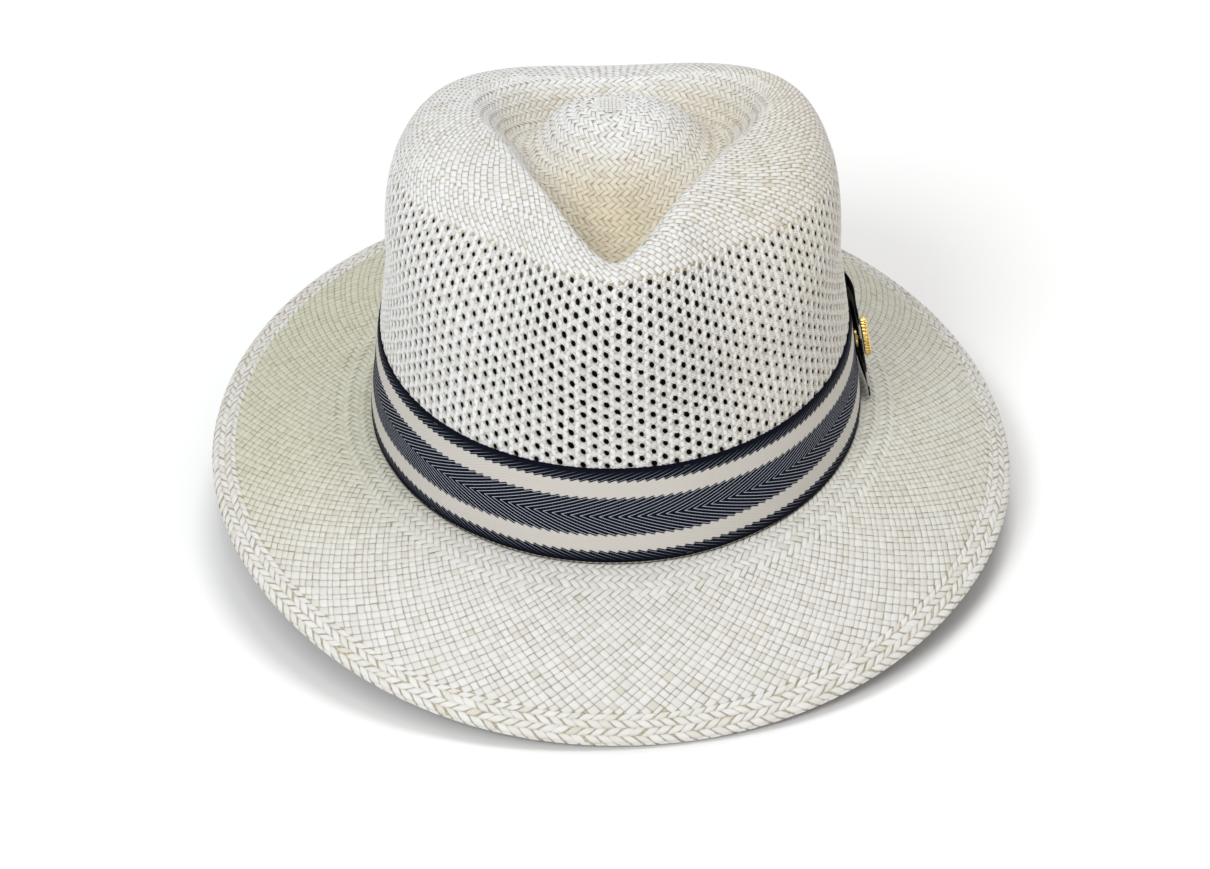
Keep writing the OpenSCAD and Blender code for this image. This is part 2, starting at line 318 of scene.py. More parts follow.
class Skin:
    """Collects patches of quads, with named values per point, and makes one mesh of them."""

    def __init__(self):
        self.points, self.faces, self.values, self.count = [], [], {}, 0

    def add(self, points, faces, **values):
        points = points.reshape(-1, 3)
        self.points.append(points)
        self.faces.append(faces + self.count)
        self.count += len(points)
        for name, value in values.items():
            self.values.setdefault(name, []).append(value.reshape(len(points), -1))
        return self

    def build(self, name, material, slot, stands_for, body="hat"):
        """Makes the mesh, which rides on a body and stands for one of the CAD's nodes."""
        points, faces = np.concatenate(self.points), np.concatenate(self.faces)
        mesh = bpy.data.meshes.new(name)
        mesh.vertices.add(len(points))
        mesh.vertices.foreach_set("co", points.astype(np.float32).ravel())
        mesh.loops.add(faces.size)
        mesh.loops.foreach_set("vertex_index", faces.astype(np.int32).ravel())
        mesh.polygons.add(len(faces))
        mesh.polygons.foreach_set("loop_start", np.arange(0, faces.size, 4, dtype=np.int32))
        mesh.polygons.foreach_set("use_smooth", np.ones(len(faces), bool))
        for key, parts in self.values.items():
            value = np.concatenate(parts)
            kind, field = ("FLOAT_VECTOR", "vector") if value.shape[1] == 3 else ("FLOAT", "value")
            layer = mesh.attributes.new(key, kind, "POINT")
            layer.data.foreach_set(field, value.astype(np.float32).ravel())
        mesh.update(calc_edges=True)
        mesh.validate()
        mesh.materials.append(material)
        piece = bpy.data.objects.new(name, mesh)
        bpy.context.scene.collection.objects.link(piece)
        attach(piece, body)
        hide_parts(stands_for)
        return piece


def quads(columns, rows, closed=False, tube=False):
    """Faces of a grid of points, column by column.

    closed also joins the last column to the first; tube joins the ends of each column.
    """
    a = np.arange(columns if closed else columns - 1)[:, None]
    j = np.arange(rows if tube else rows - 1)[None]
    here, ahead, up = a * rows, (a + 1) % columns * rows, (j + 1) % rows
    return np.stack([here + j, ahead + j, ahead + up, here + up], -1).reshape(-1, 4)


def pairs(a, b):
    """Every value of a with every value of b, as two flat arrays."""
    return (grid.ravel() for grid in np.meshgrid(a, b, indexing="ij"))


def bevel(outer):
    """Places across a strand top: its two edges, and where they start to fall."""
    return np.array([-1.0, -outer, outer, 1.0])


SQUARE = bevel(0.66), bevel(0.76)
LONG = np.array([-1.0, -0.84, -0.3, 0.3, 0.84, 1.0]), bevel(0.70)
ROUND = np.array([-1.0, -0.66, 0.0, 0.66, 1.0]), np.array([-1.0, -0.62, 0.0, 0.62, 1.0])


def strands(
    skin, surface, centre, along, across, half_len, half_wid, lift, edge,
    raised=0.0, shape=SQUARE, warm=None, loose=1.0, corner=0.08, dark=1.0,
):
    """Adds one pillow of straw per centre, an array of (w, t).

    along and across are steps in (w, t); half_len and half_wid count in those. The pillow
    is highest in its middle, falls away at its sides and dives under at its ends. loose is
    how uneven the pillows are, corner how round, and dark how dark their edges are painted:
    partly the straw's own browner edges, partly painted shade in the gaps between them.
    """
    n = len(centre)
    p, q = (places[None] for places in pairs(*shape))
    half_len, half_wid = (np.broadcast_to(half, n)[:, None] for half in (half_len, half_wid))
    turn = rng.normal(0, 0.05 * loose, (n, 1))
    x = half_len * (p * (1 - corner * q**4) + rng.normal(0, 0.03 * loose, (n, 1)))
    y = half_wid * (q * (1 - corner * p**4) * rng.uniform(1 - 0.08 * loose, 1, (n, 1)) + turn * p)
    along, across = np.broadcast_to(along, (n, 2)), np.broadcast_to(across, (n, 2))
    place = (centre[:, [c]] + x * along[:, [c]] + y * across[:, [c]] for c in (0, 1))
    points, normals = surface.at(*place)
    height = raised + lift * (1 - 2 * np.abs(p) ** 3) - edge * np.abs(q) ** 5
    points = points + normals * (height + rng.normal(0, 0.00002 * loose, (n, 1)))[..., None]
    grid = quads(len(shape[0]), len(shape[1]))
    outward = along[:, 0] * across[:, 1] - along[:, 1] * across[:, 0] < 0
    faces = np.where(outward[:, None, None], grid, grid[:, ::-1])
    faces = faces + (np.arange(n) * p.size)[:, None, None]
    tone = np.repeat(rng.beta(2.2, 1.6, (n, 1)), p.size, 1)
    # painted shade: edges darkened towards the seam colour, partly the straw's own browner edges, partly
    # shade in the gaps
    rim = np.maximum(0.80 * np.abs(q) ** 10, np.abs(p) ** 10) * rng.uniform(0.40, 1.0, (n, 1)) * dark
    length = np.linalg.norm(points[:, -1] - points[:, 0], axis=1)[:, None]
    fibre = length * p / 2 + rng.uniform(0, 3, (n, 1)), q * 0.0007, rng.uniform(0, 1, (n, 1))
    fibre = np.stack(np.broadcast_arrays(*fibre), -1)
    # painted shade: how much shade and yellowish bounced light the material paints on each point
    warmth = np.zeros((n, p.size)) if warm is None else warm(points)
    skin.add(points, faces.reshape(-1, 4), tone=tone, fibre=fibre, warmth=warmth, rim=rim)


class Weave:
    """Two families of strands that cross on a ring-shaped surface, with uneven widths.

    Strand numbers run both ways round: "down" strands lean outwards as they go round, "up"
    strands lean inwards. A crossing of down strand j and up strand i is at level i - j.
    """

    def __init__(self, surface, columns, rows, t_from, t_to, uneven=0.12):
        self.surface, self.columns, self.rows = surface, columns, rows
        self.du, self.dv, self.t_from = 1 / columns, (t_to - t_from) / rows, t_from
        self.gaps = {side: rng.uniform(-uneven, uneven, columns) for side in ("down", "up")}

    def gap(self, side, number):
        """Where the gap after a strand of that family is, counted in strands."""
        return number + 0.5 + self.gaps[side][number % self.columns]

    def tops(self, skin, side, level, over, extra, share, lift, edge, keep=None, **look):
        """Tops of one family's strands, each over the given number of the other's, from a level on."""
        total = 2 * np.arange(self.columns) + level % 2
        i, j = (total + level) // 2, (total - level) // 2
        down = side == "down"
        run, line, other = (i, j, "up") if down else (j, i, "down")
        first = run - 1 if down else run - over
        ends = self.gap(other, first), self.gap(other, first + over)
        sides = self.gap(side, line - 1), self.gap(side, line)
        steps = np.array([self.du / 2, self.dv / 2]), np.array([self.du / 2, -self.dv / 2])
        along, across = steps if down else steps[::-1]
        mid_run, mid_line = (ends[0] + ends[1]) / 2, (sides[0] + sides[1]) / 2
        centre = mid_run[:, None] * along + mid_line[:, None] * across + [0, self.t_from]
        half_len, half_wid = (ends[1] - ends[0]) / 2 + extra, (sides[1] - sides[0]) / 2 * share
        if keep is not None:
            chosen = keep(self.surface.at(centre[:, 0], centre[:, 1])[0])
            centre, half_len, half_wid = centre[chosen], half_len[chosen], half_wid[chosen]
        if len(centre):
            strands(skin, self.surface, centre, along, across, half_len, half_wid, lift, edge, **look)

    def plain(self, skin, lift, edge, lead=0.0, **look):
        """Over one, under one; with a lead the down strands are longer and hide the up ones."""
        for level in range(2 * self.rows):
            if level % 2 == 0:
                self.tops(skin, "down", level, 1, 0.12 + lead, 0.98, lift, edge, **look)
            elif not lead:
                self.tops(skin, "up", level, 1, 0.12, 0.98, lift, edge, **look)

    def twill(self, skin, lift, edge, sides=("down", "up"), **look):
        """Over two, under two, in rings that lean one way and the other by turns."""
        look |= {"shape": LONG, "corner": 0.12}
        for row in range(self.rows):
            self.tops(skin, sides[row % 2], 2 * row, 2, 0.10, 1.0, lift, edge, **look)


def leaf_row(skin, surface, t_mid, half_row, lean, lift, edge, shift=0.0, width=0.47):
    """One ring of large leaf-shaped tops that all lean the same way: lean is in columns."""
    du = 1 / BORDER_COLUMNS
    centre = np.stack([(np.arange(BORDER_COLUMNS) + shift) * du, np.full(BORDER_COLUMNS, t_mid)], -1)
    centre = centre + rng.normal(0, 1, centre.shape) * [0.05 * du, 0.05 * half_row]
    along = np.array([lean * du, half_row])
    across = np.array([du * 0.98, -0.22 * np.sign(lean) * half_row])
    half_len = rng.uniform(0.94, 1.06, BORDER_COLUMNS)
    half_wid = width * rng.uniform(0.86, 1.06, BORDER_COLUMNS)
    look = {"shape": LONG, "loose": 1.4, "corner": 0.2}
    strands(skin, surface, centre, along, across, half_len, half_wid, lift, edge, **look)


def plate(name, surface, thick, sunk, material, columns, rows, slot, stands_for, warm=None):
    """Solid straw under the strands: closes the gaps between them, and is the inside's face."""
    w, t = np.meshgrid(np.arange(columns) / columns, np.linspace(0, 1, rows), indexing="ij")
    points, normals = surface.at(w, t)
    outer, inner = points - normals * sunk, points - normals * (sunk + thick)
    ring = np.concatenate([outer, inner[:, ::-1]], 1)
    coords = np.stack([w * surface.perimeter.mean(), t * surface.height, 0 * w], -1)
    coords = np.concatenate([coords, coords[:, ::-1] + [0, 0, 1]], 1)
    # painted shade, as on the strands
    warmth = np.zeros(ring.shape[:2]) if warm is None else warm(ring)
    faces = quads(columns, 2 * rows, closed=True, tube=True)[:, ::-1]
    Skin().add(ring, faces, lattice=coords, warmth=warmth).build(name, material, slot, stands_for)


def facing(grid):
    """Normals of a grid of points, out from the hat if its columns go round it and up."""
    return unit(np.cross(np.gradient(grid, axis=0), np.gradient(grid, axis=1)))


def ribbon_solid(name, outer, along, across, thick, *links, out=1):
    """A ribbon: outer is its face as columns of points, closed with a back, edges and ends."""
    columns, rows = outer.shape[:2]
    n = columns * rows
    face = quads(columns, rows)
    edges = []
    for j in (0, rows - 1):
        a = np.arange(columns - 1) * rows + j
        side = np.stack([a, a + n, a + n + rows, a + rows], -1)
        edges.append(side if j == 0 else side[:, ::-1])
    for i in (0, columns - 1):
        a = np.arange(rows - 1) + i * rows
        side = np.stack([a, a + 1, a + 1 + n, a + n], -1)
        edges.append(side if i == 0 else side[:, ::-1])
    faces = np.concatenate([face, face[:, ::-1] + n, *edges])[:, ::-1]
    cloth = np.stack([*np.meshgrid(along, across, indexing="ij"), np.zeros((columns, rows))], -1)
    inner = outer - out * facing(outer) * thick
    return Skin().add(np.stack([outer, inner]), faces, cloth=np.stack([cloth, cloth])).build(name, *links)


# ---- materials


class Nodes:
    """Short way to write a material's nodes."""

    def __init__(self, name):
        self.material = bpy.data.materials.new(name)
        self.material.use_nodes = True
        self.tree = self.material.node_tree
        self.shader = next(n for n in self.tree.nodes if n.type == "BSDF_PRINCIPLED")

    def put(self, socket, value):
        if isinstance(value, bpy.types.NodeSocket):
            self.tree.links.new(value, socket)
        else:
            socket.default_value = value

    def node(self, kind, settings=None, out=0, **inputs):
        """A node's output; inputs are named, or numbered as in _0."""
        n = self.tree.nodes.new("ShaderNode" + kind)
        for key, value in (settings or {}).items():
            setattr(n, key, value)
        for key, value in inputs.items():
            self.put(n.inputs[int(key[1:])] if key[0] == "_" else n.inputs[key], value)
        return n.outputs[out]

    def attribute(self, name, out="Fac"):
        return self.node("Attribute", {"attribute_name": name}, out)

    def math(self, op, a, b=0.0):
        return self.node("Math", {"operation": op}, _0=a, _1=b)

    def mul(self, a, b):
        return self.math("MULTIPLY", a, b)

    def add(self, a, b):
        return self.math("ADD", a, b)

    def vector(self, op, a, b=(0, 0, 0), out=0):
        return self.node("VectorMath", {"operation": op}, out, _0=a, _1=b)

    def mix(self, fac, a, b, blend="MIX"):
        a, b = ((*colour, 1) if isinstance(colour, tuple) else colour for colour in (a, b))
        return self.node("Mix", {"data_type": "RGBA", "blend_type": blend}, 2, _0=fac, _6=a, _7=b)

    def ramp(self, fac, *stops):
        n = self.tree.nodes.new("ShaderNodeValToRGB")
        bar = n.color_ramp
        while len(bar.elements) < len(stops):
            bar.elements.new(0.5)
        for element, (at, colour) in zip(bar.elements, stops):
            element.position = at
            element.color = (*colour, 1)
        self.put(n.inputs[0], fac)
        return n.outputs[0]

    def noise(self, vector, scale, detail=2.0, rough=0.5):
        return self.node("TexNoise", Vector=vector, Scale=scale, Detail=detail, Roughness=rough)

    def span(self, value, low, high, to_low=0.0, to_high=1.0):
        """Brings a value from low to high, clamped, to another range."""
        return self.node("MapRange", Value=value, _1=low, _2=high, _3=to_low, _4=to_high)

    def step(self, value, low, high, soft):
        """1 between low and high, 0 outside, with soft edges."""
        return self.mul(self.span(value, low - soft, low + soft), self.span(value, high + soft, high - soft))

    def bump(self, height, distance, strength):
        return self.node("Bump", Height=height, Distance=distance, Strength=strength)

    def finish(self, colour, roughness, normal=None, **fixed):
        self.put(self.shader.inputs["Base Color"], (*colour, 1) if isinstance(colour, tuple) else colour)
        self.put(self.shader.inputs["Roughness"], roughness)
        if normal is not None:
            self.put(self.shader.inputs["Normal"], normal)
        for key, value in fixed.items():
            self.shader.inputs[key.replace("_", " ")].default_value = value
        return self.material


def place(nodes):
    return nodes.node("TexCoord", out=3)


def shade(colour, factor):
    return tuple(c * factor for c in colour)


def straw_material(name, pale, mid, dark, seam, tint=(0.79, 0.68, 0.455)):
    """Flat split straws, each with its own tone and fine fibres; darker edges, partly painted shade, and a
    per-point tint of painted shade.
    """
    m = Nodes(name)
    fibre = m.attribute("fibre", "Vector")
    streaks = m.noise(m.vector("MULTIPLY", fibre, (260.0, 900000.0, 40.0)), 1.0, 3.0, 0.6)
    colour = m.ramp(m.attribute("tone"), (0.0, dark), (0.20, mid), (0.60, pale), (1.0, shade(pale, 1.05)))
    stains = m.noise(place(m), 38.0, 3.0, 0.6)
    colour = m.mix(m.span(stains, 0.45, 0.75, 0.0, 0.35), colour, mid)
    colour = m.mix(m.span(streaks, 0.52, 0.78, 0.0, 0.30), colour, shade(mid, 0.86))
    # edges darkened: partly the straw's own browner edges, partly painted shade in the gaps
    colour = m.mix(m.attribute("rim"), colour, seam)
    # painted shade and bounced light: the per-point attribute multiplies the colour by tint
    colour = m.mix(m.attribute("warmth"), colour, tint, "MULTIPLY")
    rough = m.span(streaks, 0.3, 0.7, 0.46, 0.62)
    return m.finish(colour, rough, m.bump(streaks, 0.00006, 0.5), Specular_IOR_Level=0.42)


def plate_material(name, colour, pitch=0.0021):
    """Straw seen between and behind the strands; its inside has a shallow plain weave, painted far darker as
    shade.
    """
    m = Nodes(name)
    at = m.node("SeparateXYZ", _0=m.attribute("lattice", "Vector"))
    at_y, inside = at.node.outputs[1], at.node.outputs[2]
    slants = (m.mul(m.math(op, at, at_y), math.pi / pitch) for op in ("ADD", "SUBTRACT"))
    woven = m.math("ABSOLUTE", m.mul(*(m.math("SINE", slant) for slant in slants)))
    fine = m.noise(place(m), 900.0, 3.0)
    tint = m.mix(m.span(woven, 0.0, 0.5), shade(colour, 0.62), colour)
    tint = m.mix(m.mul(fine, 0.25), tint, shade(colour, 0.75))
    # painted shade: the per-point attribute tints the colour as on the strands, and the inside faces are
    # multiplied far darker for the shade inside the crown and under the brim
    tint = m.mix(m.attribute("warmth"), tint, (1.0, 0.86, 0.62), "MULTIPLY")
    tint = m.mix(inside, tint, (0.22, 0.17, 0.12), "MULTIPLY")
    height = m.add(woven, m.mul(fine, 0.2))
    return m.finish(tint, 0.7, m.bump(height, 0.0003, 0.8), Specular_IOR_Level=0.3)


NAVY, NAVY_WORN = (0.0016, 0.0024, 0.0070), (0.005, 0.007, 0.016)
PALE_THREAD = (0.57, 0.61, 0.70)
BEIGE, BEIGE_GAP, BEIGE_WORN = (0.59, 0.565, 0.525), (0.25, 0.24, 0.23), (0.50, 0.45, 0.39)
# Length and slope of one line of the herringbone, and the length of one thread's dot
CHEVRON, CHEVRON_SLOPE, DOT = 0.0031, 20.5, 0.00052


def ribbon_material(name):
    """Woven ribbon: navy edges, two beige stripes, and a navy herringbone with pale threads."""
    m = Nodes(name)
    at = m.node("SeparateXYZ", _0=m.attribute("cloth", "Vector"))
    # twill lines spread from the middle to both edges, like a row of arrow heads
    off_mid = m.math("ABSOLUTE", m.math("SUBTRACT", at.node.outputs[1], 0.495))
    run_out = RIBBON_W / math.tan(math.radians(CHEVRON_SLOPE))
    line = m.math("DIVIDE", m.math("SUBTRACT", at, m.mul(off_mid, run_out)), CHEVRON)
    saw = m.math("FRACT", line)
    dots = m.step(m.math("PINGPONG", m.mul(at, 1 / DOT), 0.5), 0.12, 0.9, 0.07)
    threads = m.mul(m.step(saw, 0.425, 0.575, 0.04), m.add(m.mul(dots, 0.75), 0.25))
    # the pale threads fill the middle, and fade out over the navy edges
    strength = m.math("MAXIMUM", m.step(off_mid, -1.0, 0.30, 0.01), m.span(off_mid, 0.40, 0.47, 0.55, 0.0))
    dark = m.mix(m.mul(m.noise(place(m), 1400.0), 0.5), NAVY, NAVY_WORN)
    dark = m.mix(m.mul(threads, strength), dark, PALE_THREAD)
    gaps = m.step(m.math("FRACT", m.mul(line, 2.0)), 0.36, 0.64, 0.05)
    specks = m.mul(gaps, m.add(m.mul(dots, -0.5), 0.9))
    cloth = m.mix(m.mul(specks, 0.70), BEIGE, BEIGE_GAP)
    cloth = m.mix(m.mul(m.noise(place(m), 240.0, 3.0), 0.18), cloth, BEIGE_WORN)
    # the stripes' edges are toothed by the twill
    toothed = m.add(off_mid, m.mul(m.math("SUBTRACT", saw, 0.5), 0.028))
    colour = m.mix(m.step(toothed, 0.198, 0.372, 0.003), dark, cloth)
    height = m.add(m.mul(m.math("PINGPONG", line, 0.5), 1.4), m.mul(dots, 0.35))
    return m.finish(colour, 0.78, m.bump(height, 0.00014, 0.6), Specular_IOR_Level=0.06)


def leather_material(name, colour, grain=900.0):
    m = Nodes(name)
    cells = m.node("TexVoronoi", Vector=place(m), Scale=grain)
    creases = m.noise(place(m), 60.0, 4.0, 0.6)
    tint = m.mix(m.span(creases, 0.35, 0.7), shade(colour, 0.75), shade(colour, 1.2))
    rough = m.span(creases, 0.3, 0.7, 0.38, 0.56)
    height = m.add(m.mul(cells, 0.6), m.mul(creases, 0.8))
    return m.finish(tint, rough, m.bump(height, 0.00012, 0.6), Specular_IOR_Level=0.45)


def thread_material(name, colour, rough=0.7):
    m = Nodes(name)
    twist = m.node("TexWave", Vector=place(m), Scale=900.0, Distortion=1.5, Detail=2.0)
    tint = m.mix(twist, shade(colour, 0.65), colour)
    return m.finish(tint, rough, m.bump(twist, 0.00008, 0.7), Sheen_Weight=0.2)


def tape_material(name, colour):
    m = Nodes(name)
    weave = m.node("TexChecker", out=1, Vector=place(m), Scale=2200.0)
    soft = m.noise(place(m), 300.0, 3.0)
    tint = m.mix(m.mul(soft, 0.6), colour, shade(colour, 0.7))
    return m.finish(tint, 0.85, m.bump(m.add(weave, soft), 0.00008, 0.6), Sheen_Weight=0.2)


def gilt_material(name):
    m = Nodes(name)
    smears = m.noise(place(m), 700.0, 4.0, 0.6)
    tint = m.mix(m.span(smears, 0.35, 0.7), (0.86, 0.58, 0.15), (0.98, 0.76, 0.30))
    rough = m.span(smears, 0.3, 0.75, 0.16, 0.36)
    worn = m.noise(place(m), 2600.0)
    return m.finish(tint, rough, m.bump(worn, 0.00002, 0.3), Metallic=1.0)


def floor_material():
    m = Nodes("floor_paper")
    tint = m.mix(m.noise(place(m), 14.0, 3.0), (0.94, 0.94, 0.94), (0.96, 0.96, 0.96))
    # the shade under the crown, where hardly any light gets in: an oval that fades at its edge
    from_middle = m.vector("SUBTRACT", place(m), (0.0, 0.012, 0.0))
    spot = m.vector("LENGTH", m.vector("MULTIPLY", from_middle, (1.12, 1.0, 0.0)), out=1)
    tint = m.mix(m.span(spot, 0.166, 0.134), tint, (0.040, 0.037, 0.035))
    return m.finish(tint, 0.9, Specular_IOR_Level=0.1)


# Colours of the strands' darkened edges: partly the straw's own brown, partly painted shade in the gaps
TAN, BROWN = (0.30, 0.23, 0.14), (0.25, 0.19, 0.11)
straw = straw_material("straw_pale", (0.735, 0.745, 0.75), (0.68, 0.68, 0.66), (0.615, 0.585, 0.52), TAN)
# straw_brim: a darker, greyer copy of the crown's straw, for the shade the brim gets: painted shade; its
# last colour is the tint of the painted shade on the brim's back and left side
straw_brim = straw_material(
    "straw_brim", (0.69, 0.69, 0.67), (0.65, 0.64, 0.60), (0.59, 0.565, 0.49), BROWN, (0.86, 0.855, 0.71)
)
straw_border = straw_material(
    "straw_braid", (0.69, 0.685, 0.665), (0.645, 0.635, 0.585), (0.58, 0.545, 0.46), BROWN
)
# straw_behind's dark tan paints the shade in the gaps between the strands: painted shade
straw_plate = plate_material("straw_behind", (0.56, 0.49, 0.35))
straw_net = plate_material("straw_net", (0.76, 0.745, 0.69))
straw_inside = plate_material("straw_inside", (0.70, 0.65, 0.52))
ribbon = ribbon_material("ribbon_striped")
leather = leather_material("sweatband_leather", (0.115, 0.052, 0.024))
reed_leather = leather_material("reed_leather", (0.075, 0.034, 0.018), 1400.0)
tape_cotton = tape_material("tape_cotton", (0.55, 0.47, 0.33))
pale_thread = thread_material("thread_waxed", (0.66, 0.60, 0.45))
dark_thread = thread_material("thread_navy", (0.012, 0.014, 0.030))
satin = thread_material("bow_satin", (0.020, 0.020, 0.024), 0.35)
gilt = gilt_material("pin_gilt")


# ---- woven straw


def painted_right_shade(points):
    """Painted shade: the right side of the crown is painted a little browner, as if less light fell on it.
    """
    return 0.28 * ease((points[..., 0] - 0.005) / 0.06)


def crown_pieces():
    f = DIRECTIONS
    lines = crown_lines(f)
    edge = OPEN_TOP + OPEN_RISE * bell(f, 14) - OPEN_UNEVEN * cosd(f) - OPEN_BACK * backness(f) ** 3
    # looked for from the crest outwards, past the dome and the valley
    to_open, to_low, to_break = (arc_at_height(lines, 2 * LINE_STEPS, z) for z in (edge, OPEN_LOW, 0.0))
    top = Surface(cut_lines(lines, CENTRE_FROM, to_open, 260))
    open_wall = Surface(cut_lines(lines, to_open - 0.0014, to_low, 120))
    low_wall = Surface(cut_lines(lines, to_low, to_break, 30))

    def inside_crest(points):
        """Distance of points inside the crest of the teardrop, seen from above."""
        x, y = points[..., 0], points[..., 1] - TIP_BACK
        return crest(np.degrees(np.arctan2(y, x))) - np.hypot(x, y)

    def warm(points):
        """Painted shade and bounced light deep in the teardrop, most at the front, and on the right side."""
        f = np.degrees(np.arctan2(points[..., 1] - TIP_BACK, points[..., 0]))
        inside = ease((inside_crest(points) - 0.001) / 0.010)
        deep = ease((0.1015 - points[..., 2]) / 0.014)
        toward_front = ease((60 - np.abs(off_front(f))) / 60)
        return np.clip(inside * deep * (0.35 + 0.45 * toward_front) + painted_right_shade(points), 0, 1)

    skins = {"front": Skin(), "back": Skin()}
    look = {"dark": 0.60, "warm": warm}
    k = 0
    while k < CROWN_ROWS:
        # a zone of rows that share one strand count, until the cells would grow too wide
        columns = max(12, int(round(top.round_at((k + 0.5) / CROWN_ROWS) / CROWN_PITCH * 1.10)))
        last = k + 2
        while last < CROWN_ROWS and top.round_at((last + 0.5) / CROWN_ROWS) / columns < CROWN_PITCH * 1.14:
            last += 2
        weave = Weave(top, columns, last - k, k / CROWN_ROWS, last / CROWN_ROWS)
        for side, skin in zip((-1, 1), skins.values()):

            def twilled(points):
                return (inside_crest(points) > 0.0015) & (side * (points[:, 1] - CROWN_SPLIT) >= 0)

            def plain(points):
                return (inside_crest(points) <= 0.0025) & (side * (points[:, 1] - CROWN_SPLIT) >= 0)

            weave.twill(skin, 0.00011, 0.00013, keep=twilled, **look)
            weave.plain(skin, 0.00015, 0.00015, lead=0.38, keep=plain, **look)
        k = last
    for key, skin in skins.items():
        skin.build(f"crown_weave_{key}", straw, "straw", "crown")

    centre = Skin()
    mat = range(-MAT_HALF, MAT_HALF + 1)
    for a, b in ((a, b) for a in mat for b in mat):
        if math.hypot(a, b) * MAT_CELL <= MAT_R:
            flat_patch(centre, a * MAT_CELL, b * MAT_CELL, (a + b) % 2 == 0, warm)
    centre.build("crown_centre", straw, "straw", "crown")

    for key in ("front", "back"):
        openwork = Skin()
        open_weave(openwork, open_wall, key == "front")
        openwork.build(f"crown_openwork_{key}", straw, "straw", "crown")
    open_net(open_wall)

    plate("crown_lining_straw", top, 0.0006, 0.00022, straw_plate, 420, 110, "straw", "crown", warm)
    plate("crown_low_wall", low_wall, 0.0010, 0.0002, straw_inside, 300, 12, "straw", "crown")


def flat_patch(skin, x, y, turned, warm):
    """One strand top of the little square mat in the middle of the dome."""
    p, q = np.meshgrid(*SQUARE, indexing="ij")
    long, wide = p * 0.62 * MAT_CELL, q * 0.45 * MAT_CELL
    px, py = (wide, long) if turned else (long, wide)
    drop = (DOME_H - CREST_H + VALLEY_D) * ease((np.hypot(x + px, y + py) / 0.031) ** 2)
    z = DOME_H - drop + 0.00016 * np.cos(np.pi * p * 0.62) - 0.0001 * np.abs(q) ** 3
    points = np.stack([x + px, TIP_BACK + y + py, z], -1)
    tone = np.full(p.shape, rng.beta(2.2, 1.6))
    fibre = np.stack([long + rng.uniform(0, 3), wide, 0 * p], -1)
    # edges darkened as on the other strands, partly painted shade
    rim = np.maximum(0.7 * np.abs(q) ** 8, np.abs(p) ** 8)
    skin.add(points, quads(4, 4)[:, ::-1], tone=tone, fibre=fibre, warmth=warm(points), rim=rim)


def tightness(w):
    """How far the lace's holes are drawn together: 0 in the middle of the front, 1 at the sides."""
    return ease((np.abs(w % 1 - 0.5) - 0.03) / 0.09)


def open_weave(skin, surface, front):
    """Lace: round holes in columns, each column half a hole on from the last.

    Three thin strands lean across between a hole and the next below it, and broad short
    tops fill the ways between the columns.
    """
    i, k = pairs(np.arange(LACE_COLUMNS), np.arange(2 * LACE_ROWS))
    wobble = rng.normal(0, 1, (len(i), 2)) * [0.045 * DC, 0.035 * DR]

    def part(points):
        return (surface.at(points[:, 0], points[:, 1])[0][:, 1] < 0.0) == front

    between = np.stack([(i + 0.5) * DC, (k / 2 + 0.25) * DR], -1) + wobble
    here, even = part(between), (i + k) % 2 == 0
    lean = np.where(even, -1, 1)[:, None] * np.array([0, 0.5 * DR]) + np.array([DC, 0])
    size = rng.uniform(0.94, 1.06, (2, len(i))) * (1 + 0.22 * tightness(between[:, 0]))
    half_len, half_wid = 0.238 * size[0, here], 0.255 * size[1, here]
    down = np.array([0, DR])
    look = {"shape": ROUND, "corner": 0.10, "warm": painted_right_shade}
    strands(skin, surface, between[here], lean[here], down, half_len, half_wid, 0.00024, 0.00026, **look)
    # crossings, with three thin strands leaning down to the right
    node = np.stack([i * DC, (k / 2 + 0.5) * DR], -1)[even] + wobble[even] * 0.7
    node = node[part(node)]
    slope, side = np.array([0.38 * DC, 0.175 * DR]), np.array([0.24 * DC, -0.165 * DR])
    look = {"raised": 0.00004, "shape": (LONG[0], SQUARE[1]), "loose": 1.3, "warm": painted_right_shade}
    for number in (-1, 0, 1):
        centre, half_len = node + side * number * 0.60, 0.86 - 0.10 * abs(number)
        strands(skin, surface, centre, slope, side, half_len, 0.29, 0.00020, 0.00016, **look)


